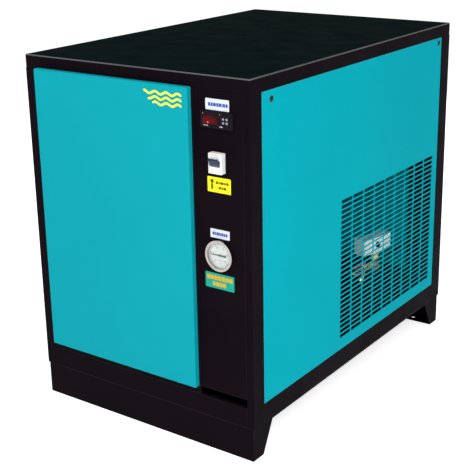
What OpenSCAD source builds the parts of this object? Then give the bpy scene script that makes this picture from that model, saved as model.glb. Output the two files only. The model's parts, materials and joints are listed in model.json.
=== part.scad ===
// Refrigerated compressed-air dryer. A folded-sheet cabinet holds a small refrigeration
// circuit, an insulated air heat exchanger with its water separator, a timed drain and
// the controls. +Z is up, the front faces -Y and +X is to the right of a person who faces
// the front. The origin is on the floor, in the middle of the four anchor holes.

/* [Cabinet] */
// Width over the frame
cabinet_w = 580; // [560:1:760]
// Depth over the frame
cabinet_d = 865; // [850:1:1100]
// Height over the top cover
cabinet_h = 792; // [780:1:960]
// Thickness of the frame sheet
frame_t = 2; // [1.5:0.1:3]
// Thickness of the panel and door sheet
panel_t = 1.5; // [1:0.1:2]
// Height of the skirt round the top cover
skirt_h = 29; // [20:1:40]
// Visible width of the front posts on the sides
front_post_w = 38; // [30:1:50]
// Visible width of the rear posts on the sides and the rear
rear_post_w = 41; // [30:1:50]
// Width of the left post on the front, with the strip that the door covers
left_post_front = 50; // [44:1:60]
// Width of the right post on the front
right_post_front = 16; // [12:1:24]
// Visible height of the rails under the side panels
side_rail_h = 42; // [30:1:60]
// Width of the post flanges that the panels lie on
flange_w = 50; // [40:1:60]
// How far the panels lie behind the frame's outer faces
panel_recess = 1; // [0.5:0.1:2]
// Depth of the folded edge of a panel
panel_edge = 8; // [6:0.5:12]
// Gap round each panel and seam
seam = 1; // [0.5:0.1:2]

/* [Base] */
// Height of the base under the cabinet
base_h = 74; // [60:1:90]
// How far the base stands in from the cabinet's sides
base_inset = 3; // [0:0.5:10]
// How far the base stands in from the cabinet's front and rear
base_setback = 1; // [0:0.5:10]
// Thickness of the base sheet
base_t = 2.5; // [2:0.1:4]
// Length of a foot on the floor
foot_l = 37; // [30:1:60]
// Length of a foot at its top
foot_top_l = 71; // [50:1:100]
// Height of the gap between the feet
foot_gap_h = 68; // [50:1:70]
// Radius of the anchor holes
anchor_r = 5.5; // [4:0.5:8]
// Distance from the cabinet's side to the anchor holes
anchor_side = 60; // [40:1:80]
// Distance from the cabinet's front or rear to the anchor holes
anchor_end = 20; // [16:0.5:24]

/* [Side grille] */
// Number of slots along a row
grille_cols = 9; // [4:1:10]
// Number of rows
grille_rows = 28; // [8:1:30]
// Length of a slot
slot_l = 47; // [30:0.5:48]
// Height of a slot
slot_h = 8.3; // [4:0.1:8.6]
// Distance from one slot to the next along a row
slot_pitch = 50.5; // [50:0.1:52]
// Distance from one row to the next
row_pitch = 11.74; // [11:0.01:12]
// Distance from the cabinet's rear to the last slot
grille_rear = 69; // [66:1:90]
// Height of the lowest row's centre
grille_z = 149.4; // [140:0.1:160]

/* [Door] */
// Thickness of the door
door_t = 12.8; // [10:0.1:20]
// Gap between the door and the frame
door_gap = 1.2; // [1:0.1:2]
// Black margin left of the door
door_margin = 36; // [30:1:40]
// How far the door covers the frame round its opening
door_lap = 14; // [12:1:18]
// Width of the door's folded rear flange
door_flange = 28; // [20:1:32]
// Radius of the hinge barrels
hinge_r = 4.5; // [3.5:0.1:5]
// Length of one half of a hinge barrel
hinge_half = 30; // [20:1:40]
// Radius of the hinge pins
hinge_pin_r = 2; // [1.5:0.1:2.5]
// Distance from the door's ends to the middle of its hinges
hinge_end = 90; // [60:1:150]

/* [Controls] */
// Width of the control panel
control_w = 116.5; // [110:0.5:130]
// Height of the control panel's lower edge
control_z = 137; // [130:1:150]
// Height of the lower edge of the slot under the control panel
slot_z = 118; // [112:1:124]
// Depth of the control panel's side folds
control_depth = 60; // [58:1:70]
// Width of the controller's bezel
controller_w = 75; // [70:0.5:80]
// Height of the controller's bezel
controller_h = 33; // [30:0.5:36]
// Distance from the cabinet's top to the controller's centre
controller_drop = 84; // [80:1:120]
// Width of the breaker's nose
breaker_w = 31; // [26:0.5:36]
// Height of the breaker's nose
breaker_h = 40; // [38:0.5:46]
// Distance from the cabinet's top to the breaker's centre
breaker_drop = 167; // [165:1:220]
// Radius of the gauge's bezel
gauge_r = 32; // [30:0.5:40]
// Distance from the cabinet's top to the gauge's centre
gauge_drop = 355; // [340:1:420]
// Play between a panel cut-out and what sits in it
cut_play = 0.4; // [0.2:0.1:1]

/* [Refrigeration] */
// Radius of the compressor's shell
comp_r = 105; // [90:1:110]
// Height of the compressor's straight shell
comp_h = 180; // [150:1:220]
// Length of the condenser block
cond_l = 400; // [340:1:420]
// Height of the condenser block
cond_h = 330; // [310:1:340]
// Thickness of the condenser block
cond_t = 66; // [44:1:80]
// Radius of the fan
fan_r = 146; // [120:1:146]
// Play between the fan's tips and its ring
fan_play = 6; // [4:0.5:10]
// Radius of the small copper tubes
tube_r = 5; // [4:0.5:6]
// Radius of the insulated suction tube
suction_r = 14; // [10:0.5:16]
// Radius of the liquid receiver
receiver_r = 45; // [35:1:50]

/* [Air] */
// Width of the heat exchanger
exch_w = 300; // [240:1:320]
// Height of the heat exchanger
exch_h = 230; // [200:1:236]
// Length of the heat exchanger
exch_l = 340; // [280:1:360]
// Radius of the air pipes
air_pipe_r = 21.2; // [16:0.1:25]
// Radius of the pipe sockets' tapping bore
socket_bore_r = 15.15; // [11:0.05:19]
// Length of the pipe sockets' tapping bore
socket_bore_l = 22; // [16:1:26]
// Distance between the two air pipes
air_pipe_pitch = 150; // [120:1:200]
// Radius of the water separator
sep_r = 45; // [35:1:50]
// Radius of the drain tube
drain_r = 5; // [4:0.5:6]
// Radius of the cable gland's bore
gland_bore_r = 5.5; // [4:0.5:6]

/* [Hidden] */
$fn = 48;

// Cabinet planes
hw = cabinet_w / 2;
hd = cabinet_d / 2;
skirt_z = cabinet_h - skirt_h;
rebate = panel_recess + panel_edge;
panel_z0 = base_h + side_rail_h;
plinth_h = base_h - frame_t;
side_y0 = -hd + front_post_w;
side_y1 = hd - rear_post_w;

// Control strip and door
control_x1 = hw - right_post_front - seam / 2;
control_x0 = control_x1 - control_w;
control_mid = (control_x0 + control_x1) / 2;
stile_w = 17;
stile_x0 = control_x0 - stile_w;
door_x0 = -hw + door_margin;
door_x1 = stile_x0 + door_lap;
door_lift = 3;
door_z1 = skirt_z + door_lift;
opening_z0 = slot_z + 32;
opening_z1 = skirt_z - 23;
door_z0 = opening_z0 - door_lap;
door_back = -hd - door_gap;
door_front = door_back - door_t;
hinge_x = door_x0 - hinge_r - 0.4;
hinge_y = -hd - hinge_r - 1;
hinge_zs = [door_z0 + hinge_end, door_z1 - hinge_end];
pin_play = 0.05;

// Controls
controller_z = cabinet_h - controller_drop;
controller_proud = 4;
key_pitch_x = 8.4;
key_pitch_z = 7.4;
key_x = 20;
key_r = 2.4;
key_travel = 0.8;
breaker_z = cabinet_h - breaker_drop;
breaker_proud = 12;
breaker_depth = 44;
toggle_r = 6;
toggle_l = 13;
toggle_inset = 4.5;
gauge_z = cabinet_h - gauge_drop;
gauge_proud = 8;
gauge_body_r = gauge_r - 3;
dial_r = gauge_r - 5;
din_t = 7.5;
din_h = 35;
label_t = 0.6;

// Refrigeration
comp_x = -80;
comp_y = -hd + 240;
comp_feet_z = base_h + 20;
comp_shell_z = comp_feet_z + 16;
comp_top_z = comp_shell_z + comp_h + 58;
port_dx = 40;
cond_x0 = -hw + rebate + 3;
cond_x1 = cond_x0 + cond_t;
cond_y1 = hd - 92;
cond_y0 = cond_y1 - cond_l;
cond_z0 = base_h + 66;
cond_port_y = cond_y0 + 12;
cond_port_x = cond_x1 + 10;
discharge_z = cond_z0 + 290;
liquid_z = cond_z0 + 20;
fan_y = (cond_y0 + cond_y1) / 2;
fan_z = cond_z0 + cond_h / 2;
ring_r = fan_r + fan_play;
ring_l = 48;
fan_x = cond_x1 + 22;
guard_x = cond_x1 + ring_l + 1.5;
motor_r = 42;
receiver_x = 75;
receiver_y = cond_port_y + 67.5;
receiver_port_z = base_h + 226;
receiver_port_dy = 18;
drier_y = -hd + 100;
drier_top_z = base_h + 284;
drier_l = 154;
bend = 12;

// Air and drain
shelf_z = cabinet_h - 292;
shelf_t = 3;
exch_y1 = hd - 42;
exch_y0 = exch_y1 - exch_l;
exch_z0 = shelf_z + shelf_t;
exch_mid_z = exch_z0 + exch_h / 2;
exch_port = 12;
capillary_x = receiver_x + 45;
rear_proud = 30;
sep_x = 90;
sep_y = hd - 282.5;
sep_z0 = shelf_z - 190;
drain_x = hw - 97;
drain_y = hd - 193.5;
drain_z = base_h + 127;
strainer_y0 = sep_y + 18;
strainer_y1 = drain_y - 21;
valve_half = drain_y - strainer_y1;
timer_z0 = drain_z + 37;
timer_turn = -10;
timer_size = [34, 105, 40];
knob_r = 7;
knob_sink = 3;
gland_x = -170;
gland_z = base_h + 86;
gland_body_r = 8;

// ---------- Shared shapes ----------

// A box from its lowest corner to its highest
module box(a, b) {
    translate(a) cube(b - a);
}

// A cylinder along Y, from y0 to y1
module rod_y(x, z, y0, y1, r) {
    translate([x, y0, z]) rotate([-90, 0, 0]) cylinder(h = y1 - y0, r = r);
}

// A cylinder along X, from x0 to x1
module rod_x(y, z, x0, x1, r) {
    translate([x0, y, z]) rotate([0, 90, 0]) cylinder(h = x1 - x0, r = r);
}

// A hexagon along Y, measured across its flats
module hex_y(x, z, y0, y1, flats) {
    translate([x, y0, z]) rotate([-90, 0, 0]) cylinder(h = y1 - y0, r = flats / sqrt(3), $fn = 6);
}

// An outline in Y and Z, extruded along X from x0 to x1
module plate_x(x0, x1, points) {
    translate([x0, 0, 0]) rotate([90, 0, 90]) linear_extrude(x1 - x0) polygon(points);
}

// A rectangle in X and Z with round corners, extruded along Y from y0 to y1
module round_plate_y(x0, x1, z0, z1, y0, y1, r) {
    translate([0, y1, 0]) rotate([90, 0, 0]) linear_extrude(y1 - y0) union() {
        translate([x0 + r, z0]) square([x1 - x0 - 2 * r, z1 - z0]);
        translate([x0, z0 + r]) square([x1 - x0, z1 - z0 - 2 * r]);
        for (x = [x0 + r, x1 - r], z = [z0 + r, z1 - r]) translate([x, z]) circle(r);
    }
}

// A spherical cap of base radius r and height h, on z = 0
module cap(r, h) {
    ball = (r * r + h * h) / (2 * h);
    intersection() {
        translate([0, 0, h - ball]) sphere(ball);
        cylinder(h = h, r = r);
    }
}

function unit(v) = v / norm(v);

// A straight tube from a to b
module straight(a, b, r) {
    d = b - a;
    translate(a) rotate([0, acos(d.z / norm(d)), atan2(d.y, d.x)]) cylinder(h = norm(d), r = r);
}

// A quarter bend at the corner p, from direction u into direction v
module elbow(p, u, v, r, br) {
    n = cross(u, v);
    c = p + br * (v - u);
    multmatrix([
        [-v.x, u.x, n.x, c.x],
        [-v.y, u.y, n.y, c.y],
        [-v.z, u.z, n.z, c.z],
        [0, 0, 0, 1]
    ]) rotate_extrude(angle = 90) translate([br, 0]) circle(r);
}

// A tube along points that turn at right angles
module tube(points, r, br) {
    last = len(points) - 1;
    for (i = [0 : last - 1]) {
        u = unit(points[i + 1] - points[i]);
        a = points[i] + (i > 0 ? br : 0) * u;
        b = points[i + 1] - (i < last - 1 ? br : 0) * u;
        straight(a, b, r);
    }
    for (i = [1 : 1 : last - 1]) {
        elbow(points[i], unit(points[i] - points[i - 1]), unit(points[i + 1] - points[i]), r, br);
    }
}

// The same shape on the left and the right
module both_sides() {
    children();
    mirror([1, 0, 0]) children();
}

// ---------- Base ----------

// Folded channel with an end plate at each side, drawn at the front
module plinth() {
    x = hw - base_inset;
    y = -hd + base_setback;
    difference() {
        union() {
            box([-x, y, 0], [x, y + base_t, plinth_h]);
            box([-x, y, 0], [x, y + foot_l, base_t]);
            box([-x, y, plinth_h - base_t], [x, y + foot_top_l, plinth_h]);
            both_sides() plate_x(x - base_t, x, [
                [y, 0], [y + foot_l, 0], [y + foot_top_l, foot_gap_h],
                [y + foot_top_l, plinth_h], [y, plinth_h]
            ]);
        }
        for (s = [-1, 1]) {
            translate([s * (hw - anchor_side), -hd + anchor_end, -1])
                cylinder(h = base_t + 2, r = anchor_r);
        }
    }
}

module base_front_plinth() {
    color("#1c1518") plinth();
}

module base_rear_plinth() {
    color("#1c1518") mirror([0, 1, 0]) plinth();
}

// Floor tray with a lip between the feet on each side
module base_pan() {
    x = hw - base_inset;
    y = hd - base_setback;
    lip_y = y - foot_top_l - seam;
    color("#1c1518") union() {
        box([-x, -y, plinth_h], [x, y, base_h]);
        both_sides() box([x - base_t, -lip_y, foot_gap_h], [x, lip_y, base_h]);
    }
}

// ---------- Frame ----------

// Folded post with its outer corner at the origin, growing into +X and +Y. The side leg
// ends in a rebate and a flange for the panel; rear posts have them on both legs.
module post(leg_x, leg_y, on_both) {
    translate([0, 0, base_h]) linear_extrude(skirt_z - base_h) union() {
        square([leg_x, frame_t]);
        square([frame_t, leg_y]);
        translate([0, leg_y - frame_t]) square([rebate + frame_t, frame_t]);
        translate([rebate, leg_y - frame_t]) square([frame_t, flange_w + frame_t]);
        if (on_both) {
            translate([leg_x - frame_t, 0]) square([frame_t, rebate + frame_t]);
            translate([leg_x - frame_t, rebate]) square([flange_w + frame_t, frame_t]);
        }
    }
}

// Screw places on a side panel, as [y, z]
side_screws = [[-hd + 73, cabinet_h - 49], [hd - 58, cabinet_h - 43]];
// Screw places on the rear panel, as [x, z]
rear_screws = [for (x = [-1, 1], z = [panel_z0 + 20, skirt_z - 20]) [x * (hw - rear_post_w - 20), z]];
screw_r = 2.5;
screw_play = 0.05;

module screw_holes(r) {
    for (p = side_screws, s = [-1, 1]) {
        rod_x(p[0], p[1], s > 0 ? hw - 20 : -hw - 5, s > 0 ? hw + 5 : -hw + 20, r);
    }
    for (p = rear_screws) rod_y(p[0], p[1], hd - 20, hd + 5, r);
}

module corner_posts() {
    color("#1c1518") difference() {
        union() {
            translate([-hw, -hd, 0]) post(left_post_front, front_post_w, false);
            mirror([1, 0, 0]) translate([-hw, -hd, 0]) post(right_post_front, front_post_w, false);
            both_sides() mirror([0, 1, 0]) translate([-hw, -hd, 0]) post(rear_post_w, rear_post_w, true);
        }
        screw_holes(screw_r + screw_play);
    }
}

// Rail under a panel, from a to b along X, with its outer face at y = 0 and its inner
// parts between the post flanges, from a_in to b_in
module lower_rail(a, b, a_in, b_in) {
    box([a, 0, base_h], [b, frame_t, panel_z0 - seam]);
    box([a, 0, panel_z0 - seam - frame_t], [b, rebate, panel_z0 - seam]);
    box([a_in, 0, panel_z0 - seam - frame_t], [b_in, rebate + frame_t, panel_z0 - seam]);
    box([a_in, rebate, panel_z0 - seam - frame_t], [b_in, rebate + frame_t, panel_z0 + 20]);
    box([a_in, 0, base_h], [b_in, 30, base_h + frame_t]);
}

// Rail behind the top edge of a panel, from a to b along X, with the outer face at y = 0
module upper_rail(a, b) {
    box([a, rebate, skirt_z - 25], [b, rebate + frame_t, cabinet_h - frame_t]);
    box([a, rebate, cabinet_h - 2 * frame_t], [b, rebate + 20, cabinet_h - frame_t]);
}

// Turns a rail drawn at y = 0 so that it lies along the left side
module on_left() {
    translate([-hw, 0, 0]) rotate([0, 0, -90]) children();
}

// Turns a rail drawn at y = 0 so that it lies along the rear
module on_rear() {
    translate([0, hd, 0]) rotate([0, 0, 180]) children();
}

front_in = hd - front_post_w - flange_w;
rear_in = hd - rear_post_w - flange_w;

module bottom_rails() {
    x0 = -hw + left_post_front;
    x1 = hw - right_post_front;
    color("#1c1518") union() {
        box([x0, -hd, base_h], [x1, -hd + frame_t, slot_z]);
        box([x0, -hd, slot_z - frame_t], [x1, -hd + 12, slot_z]);
        box([x0, -hd, base_h], [x1, -hd + 30, base_h + frame_t]);
        both_sides() on_left() lower_rail(-side_y1, -side_y0, -rear_in, front_in);
        on_rear() lower_rail(-hw + rear_post_w, hw - rear_post_w,
            -hw + rear_post_w + flange_w, hw - rear_post_w - flange_w);
    }
}

module top_rails() {
    x0 = -hw + left_post_front;
    step_z = skirt_z - seam / 2;
    inner = -hd + frame_t + seam / 2;
    color("#1c1518") difference() {
        union() {
            box([x0, -hd, opening_z1], [control_x0, -hd + frame_t, step_z]);
            box([x0, -hd, step_z - frame_t], [control_x0, inner + frame_t, step_z]);
            box([x0, inner, step_z - frame_t], [control_x0, inner + frame_t, cabinet_h - frame_t]);
            both_sides() on_left() upper_rail(-rear_in, front_in);
            on_rear() upper_rail(-hw + rear_post_w + flange_w, hw - rear_post_w - flange_w);
        }
        screw_holes(screw_r + screw_play);
    }
}

module door_sill() {
    x0 = -hw + left_post_front;
    color("#1c1518") union() {
        box([x0, -hd, slot_z], [control_x0, -hd + frame_t, opening_z0]);
        box([x0, -hd, opening_z0 - frame_t], [control_x0, -hd + 18, opening_z0]);
    }
}

module centre_stile() {
    color("#1c1518") union() {
        box([stile_x0, -hd, opening_z0], [control_x0, -hd + frame_t, opening_z1]);
        box([stile_x0, -hd, opening_z0], [stile_x0 + frame_t, -hd + 25, opening_z1]);
    }
}

module top_cover() {
    color("#10181a") difference() {
        box([-hw, -hd, skirt_z], [hw, hd, cabinet_h]);
        box([-hw + frame_t, -hd + frame_t, skirt_z - 1], [hw - frame_t, hd - frame_t, cabinet_h - frame_t]);
    }
}

// ---------- Panels ----------

// Folded tray with its outer face at y = 0, from x0 to x1 and z0 to z1
module tray(x0, x1, z0, z1) {
    difference() {
        box([x0, 0, z0], [x1, panel_edge, z1]);
        box([x0 + panel_t, panel_t, z0 + panel_t], [x1 - panel_t, panel_edge + 1, z1 - panel_t]);
    }
}

// Slots of the grille, for a tray that on_left() turns: x runs from the rear to the front
module grille_slots() {
    for (i = [0 : grille_cols - 1], j = [0 : grille_rows - 1]) {
        translate([-hd + grille_rear + i * slot_pitch, -1, grille_z + j * row_pitch - slot_h / 2])
            cube([slot_l, panel_t + 2, slot_h]);
    }
}

module side_panel() {
    difference() {
        on_left() translate([0, panel_recess, 0]) difference() {
            tray(-side_y1 + seam, -side_y0 - seam, panel_z0, skirt_z - seam);
            grille_slots();
        }
        screw_holes(screw_r + 0.2);
    }
}

module left_side_panel() {
    color("#14a6b4") side_panel();
}

module right_side_panel() {
    color("#14a6b4") mirror([1, 0, 0]) side_panel();
}

module rear_panel() {
    x = hw - rear_post_w - seam;
    color("#14a6b4") difference() {
        on_rear() translate([0, panel_recess, 0]) tray(-x, x, panel_z0, skirt_z - seam);
        for (s = [-1, 1]) rod_y(s * air_pipe_pitch / 2, exch_mid_z, hd - 20, hd + 5, air_pipe_r + 3);
        rod_y(drain_x, drain_z, hd - 20, hd + 5, drain_r + 2);
        rod_y(gland_x, gland_z, hd - 20, hd + 5, gland_body_r + cut_play);
        screw_holes(screw_r + 0.2);
    }
}

// Domed screw with its head's underside at y = 0, pointing into +Y
module panel_screw() {
    rotate([90, 0, 0]) cap(6.5, 2.2);
    rod_y(0, 0, 0, 12, screw_r);
}

module panel_screws() {
    color("#202020") union() {
        for (p = side_screws) {
            both_sides() on_left() translate([-p[0], panel_recess, p[1]]) panel_screw();
        }
        for (p = rear_screws) on_rear() translate([p[0], panel_recess, p[1]]) panel_screw();
    }
}

// ---------- Door ----------

module front_door() {
    t = panel_t;
    color("#1fb0bf") difference() {
        box([door_x0, door_front, door_z0], [door_x1, door_back, door_z1]);
        box([door_x0 + t, door_front + t, door_z0 + t], [door_x1 - t, door_back - t, door_z1 - t]);
        box([door_x0 + door_flange, door_front + t, door_z0 + door_flange],
            [door_x1 - door_flange, door_back + 1, door_z1 - door_flange]);
    }
}

module door_seal() {
    a = 3;
    b = 11;
    color("#303030") difference() {
        box([door_x0 + a, door_back, door_z0 + a], [door_x1 - a, door_back + door_gap - 0.2, door_z1 - a]);
        box([door_x0 + b, door_back - 1, door_z0 + b], [door_x1 - b, door_back + door_gap, door_z1 - b]);
    }
}

// Upper half barrels, welded to the door, with a blind bore for the pin
module door_hinges() {
    color("#1c1518") for (z = hinge_zs) translate([hinge_x, hinge_y, z + 0.2]) difference() {
        union() {
            cylinder(h = hinge_half, r = hinge_r);
            box([0, -2, 0], [door_x0 - hinge_x, 2, hinge_half]);
        }
        translate([0, 0, -1]) cylinder(h = hinge_half - 2, r = hinge_pin_r + pin_play);
    }
}

// Lower half barrels with their pins, on leaves that lie on the left post
module frame_hinges() {
    color("#1c1518") for (z = hinge_zs) translate([hinge_x, hinge_y, z]) union() {
        translate([0, 0, -hinge_half]) cylinder(h = hinge_half, r = hinge_r);
        translate([0, 0, -1]) cylinder(h = hinge_half - 4, r = hinge_pin_r);
        box([-22, hinge_r - 0.5, -hinge_half], [0, -hd - hinge_y, 0]);
    }
}

// Magnetic catches beside the centre stile, close to the door's rear flange
module door_catches() {
    mid = (door_z0 + door_z1) / 2;
    color("#2a2a2a") for (z = [mid - 230, mid + 230]) {
        box([stile_x0 - 12, -hd - 0.9, z - 22], [stile_x0, -hd + 14, z + 22]);
    }
}

// ---------- Control panel ----------

module control_panel() {
    z1 = skirt_z - seam / 2;
    color("#1e1619") difference() {
        union() {
            box([control_x0, -hd, control_z], [control_x1, -hd + frame_t, z1]);
            box([control_x0, -hd, control_z], [control_x0 + frame_t, -hd + control_depth, z1]);
            box([control_x1 - frame_t, -hd, control_z], [control_x1, -hd + control_depth, z1]);
        }
        cut_window(controller_w - 4, controller_h - 4, controller_z);
        cut_window(breaker_w, breaker_h, breaker_z);
        rod_y(control_mid, gauge_z, -hd - 1, -hd + frame_t + 1, gauge_body_r + cut_play);
    }
}

module cut_window(w, h, z) {
    dx = w / 2 + cut_play;
    dz = h / 2 + cut_play;
    box([control_mid - dx, -hd - 1, z - dz], [control_mid + dx, -hd + frame_t + 1, z + dz]);
}

// Plain coloured plates: two white, one yellow and one green, as [width, height, centre x, centre z]
plates = [
    [55, 22, control_mid, controller_z + controller_h / 2 + 12.5],
    [55, 30.5, control_mid + 0.5, breaker_z - breaker_h / 2 - 25],
    [46, 18.5, control_mid, gauge_z + gauge_r + 11.5],
    [70, 32, control_mid - 3, gauge_z - gauge_r - 24]
];
plate_colours = ["white", "#f0dc1e", "white", "#10a088"];

module label_plates() {
    for (i = [0 : 3]) {
        p = plates[i];
        color(plate_colours[i]) round_plate_y(p[2] - p[0] / 2, p[2] + p[0] / 2,
            p[3] - p[1] / 2, p[3] + p[1] / 2, -hd - label_t, -hd, 1.5);
    }
}

// ---------- Controller ----------

window_x = [-controller_w / 2 + 4, 6];
window_h = 17;
window_t = 1;
key_names = ["up", "set", "down", "defrost"];

function key_at(i) = [
    control_mid + key_x + (i % 2 - 0.5) * key_pitch_x,
    controller_z + (i < 2 ? 0.5 : -0.5) * key_pitch_z
];

module controller_case() {
    w = controller_w / 2;
    h = controller_h / 2;
    face = -hd - controller_proud;
    color("#151515") difference() {
        union() {
            round_plate_y(control_mid - w, control_mid + w, controller_z - h, controller_z + h,
                face, -hd, 3);
            box([control_mid - w + 2, -hd, controller_z - h + 2],
                [control_mid + w - 2, -hd + 54, controller_z + h - 2]);
        }
        box([control_mid + window_x[0], face - 1, controller_z - window_h / 2],
            [control_mid + window_x[1], face + window_t, controller_z + window_h / 2]);
        for (i = [0 : 3]) rod_y(key_at(i)[0], key_at(i)[1], face - 1, face + 2.5, key_r + 0.3);
    }
}

module controller_window() {
    face = -hd - controller_proud;
    color("#401010") box([control_mid + window_x[0] + 0.1, face + 0.1, controller_z - window_h / 2 + 0.1],
        [control_mid + window_x[1] - 0.1, face + window_t, controller_z + window_h / 2 - 0.1]);
}

// One key, proud of the bezel by its travel
module key(i) {
    face = -hd - controller_proud;
    color("#c8c8d0") rod_y(key_at(i)[0], key_at(i)[1], face - key_travel, face + 1.5, key_r);
}

// ---------- Circuit breaker ----------

breaker_face = -hd - breaker_proud;

module breaker_body() {
    w = breaker_w / 2;
    color("#e8e8e4") difference() {
        union() {
            box([control_mid - w, breaker_face, breaker_z - breaker_h / 2],
                [control_mid + w, -hd + 5, breaker_z + breaker_h / 2]);
            box([control_mid - w, -hd + frame_t + 0.5, breaker_z - 41],
                [control_mid + w, -hd + breaker_depth, breaker_z + 41]);
        }
        rod_x(breaker_face + 2, breaker_z, control_mid - w + toggle_inset - 0.4,
            control_mid + w - toggle_inset + 0.4, toggle_r + 0.3);
    }
}

// Joined toggles on a half-sunk barrel, tilted up when the breaker is on
module breaker_toggle() {
    w = breaker_w / 2 - toggle_inset;
    color("#182038") translate([control_mid, breaker_face + 2, breaker_z]) union() {
        rod_x(0, 0, -w, w, toggle_r);
        rotate([-45, 0, 0]) box([-w, -toggle_l, -2.5], [w, 0, 2.5]);
    }
}

module din_rail() {
    y = -hd + breaker_depth;
    color("#b0b4b8") difference() {
        box([control_x0 + frame_t, y, breaker_z - din_h / 2],
            [control_x1 - frame_t, y + din_t, breaker_z + din_h / 2]);
        box([control_x0, y - 1, breaker_z - din_h / 2 + 6],
            [control_x1, y + din_t - 1.5, breaker_z + din_h / 2 - 6]);
    }
}

// ---------- Pressure gauge ----------

module gauge_case() {
    color("#c4c8cc") difference() {
        union() {
            rod_y(control_mid, gauge_z, -hd - gauge_proud, -hd, gauge_r);
            rod_y(control_mid, gauge_z, -hd, -hd + 26, gauge_body_r);
            hex_y(control_mid, gauge_z - 12, -hd + 26, -hd + 38, 14);
            rod_y(control_mid, gauge_z - 12, -hd + 38, -hd + 52, 6);
        }
        rod_y(control_mid, gauge_z, -hd - gauge_proud - 1, -hd - 1, dial_r);
    }
}

module gauge_dial() {
    color("white") rod_y(control_mid, gauge_z, -hd - 1.8, -hd - 1, dial_r - 0.1);
}

// Pointer with a slim tip to the left and a broad tail to the right of its hub
module gauge_pointer() {
    color("#202428") translate([control_mid, -hd - 3.4, gauge_z]) rotate([-90, 0, 0]) union() {
        linear_extrude(0.8) polygon([[-22, 0.5], [-22, -0.5], [0, -1.2], [15, -2.4], [15, 2.4], [0, 1.2]]);
        cylinder(h = 1.3, r = 2.6);
    }
}

module gauge_glass() {
    color([0.8, 0.9, 1, 0.3]) rod_y(control_mid, gauge_z, -hd - 6, -hd - 4.8, dial_r - 0.1);
}

// ---------- Compressor ----------

module compressor() {
    color("#141414") translate([comp_x, comp_y, 0]) difference() {
        union() {
            translate([0, 0, comp_shell_z]) cylinder(h = comp_h, r = comp_r);
            translate([0, 0, comp_shell_z + comp_h]) cap(comp_r, 40);
            translate([0, 0, comp_shell_z]) mirror([0, 0, 1]) cap(comp_r, 14);
            translate([0, 0, comp_shell_z + comp_h * 0.62]) cylinder(h = 6, r = comp_r + 4);
            box([-112, -92, comp_feet_z], [112, 92, comp_feet_z + 4]);
            for (s = [-1, 1]) {
                translate([s * port_dx, 0, comp_shell_z + comp_h])
                    cylinder(h = 58, r = s < 0 ? suction_r - 2 : tube_r + 2);
            }
        }
        translate([0, 0, comp_shell_z + 4]) cylinder(h = comp_h - 8, r = comp_r - 14);
    }
}

module compressor_grommets() {
    color("#262626") for (x = [-96, 96], y = [-76, 76]) {
        translate([comp_x + x, comp_y + y, base_h]) cylinder(h = comp_feet_z - base_h, r = 14);
    }
}

module compressor_terminal_cover() {
    color("#1a1a1a") difference() {
        box([comp_x + comp_r - 10, comp_y - 38, comp_shell_z + 20],
            [comp_x + comp_r + 34, comp_y + 38, comp_shell_z + 100]);
        translate([comp_x, comp_y, base_h]) cylinder(h = 400, r = comp_r);
    }
}

// ---------- Condenser and fan ----------

module condenser_coil() {
    color("#9aa0a4") union() {
        box([cond_x0, cond_y0, cond_z0], [cond_x1, cond_y1, cond_z0 + cond_h]);
        for (y = [cond_y0 - frame_t, cond_y1]) {
            box([cond_x0, y, base_h + frame_t], [cond_x1, y + frame_t, cond_z0 + cond_h]);
        }
        for (z = [liquid_z, discharge_z]) rod_x(cond_port_y, z, cond_x1 - 5, cond_port_x, tube_r + 1.5);
    }
}

module fan_shroud() {
    half_y = fan_r + 29;
    half_z = cond_h / 2 - 4;
    color("#1a1a1a") difference() {
        union() {
            box([cond_x1, fan_y - half_y, fan_z - half_z],
                [cond_x1 + frame_t, fan_y + half_y, fan_z + half_z]);
            rod_x(fan_y, fan_z, cond_x1, cond_x1 + ring_l, ring_r + frame_t);
        }
        rod_x(fan_y, fan_z, cond_x1 - 1, cond_x1 + ring_l + 1, ring_r);
    }
}

// Wire rings on four arms that run from the shroud's ring to the motor
module fan_guard() {
    wire = 1.5;
    color("#202020") union() {
        for (r = [motor_r + wire, 74, 98, 122, ring_r - wire]) {
            translate([guard_x, fan_y, fan_z]) rotate([0, 90, 0])
                rotate_extrude() translate([r, 0]) circle(wire);
        }
        for (a = [45 : 90 : 315]) {
            translate([guard_x, fan_y, fan_z]) rotate([a, 0, 0])
                translate([0, 0, motor_r + wire]) cylinder(h = ring_r - motor_r - 2 * wire, r = wire + 0.5);
        }
    }
}

module fan_motor() {
    color("#2c2f33") union() {
        rod_x(fan_y, fan_z, guard_x - 2, guard_x + 60, motor_r);
        rod_x(fan_y, fan_z, guard_x + 60, guard_x + 74, motor_r - 14);
        rod_x(fan_y, fan_z, fan_x + 14.5, guard_x - 2, 6);
    }
}

// Hub with five pitched blades
module fan_blades() {
    hub_r = 34;
    color("#8f969c") translate([fan_x, fan_y, fan_z]) union() {
        rod_x(0, 0, -12, 14, hub_r);
        for (i = [0 : 4]) rotate([i * 72, 0, 0]) rotate([0, 0, 28]) {
            box([-1, -34, hub_r - 3], [1, 34, fan_r - 6]);
        }
    }
}

// ---------- Air side ----------

module heat_exchanger() {
    color("#17191a") union() {
        round_plate_y(-exch_w / 2, exch_w / 2, exch_z0, exch_z0 + exch_h, exch_y0, exch_y1, 20);
        rod_y(comp_x - port_dx, exch_mid_z, exch_y0 - exch_port, exch_y0, suction_r);
        rod_y(capillary_x, exch_mid_z, exch_y0 - exch_port, exch_y0, tube_r);
    }
}

module exchanger_shelf() {
    x = hw - rebate - frame_t - 1;
    color("#1c1518") difference() {
        box([-x, exch_y0 - 5, shelf_z], [x, exch_y1 + 5, shelf_z + shelf_t]);
        translate([sep_x, sep_y, shelf_z - 1]) cylinder(h = shelf_t + 2, r = 25);
    }
}

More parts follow.
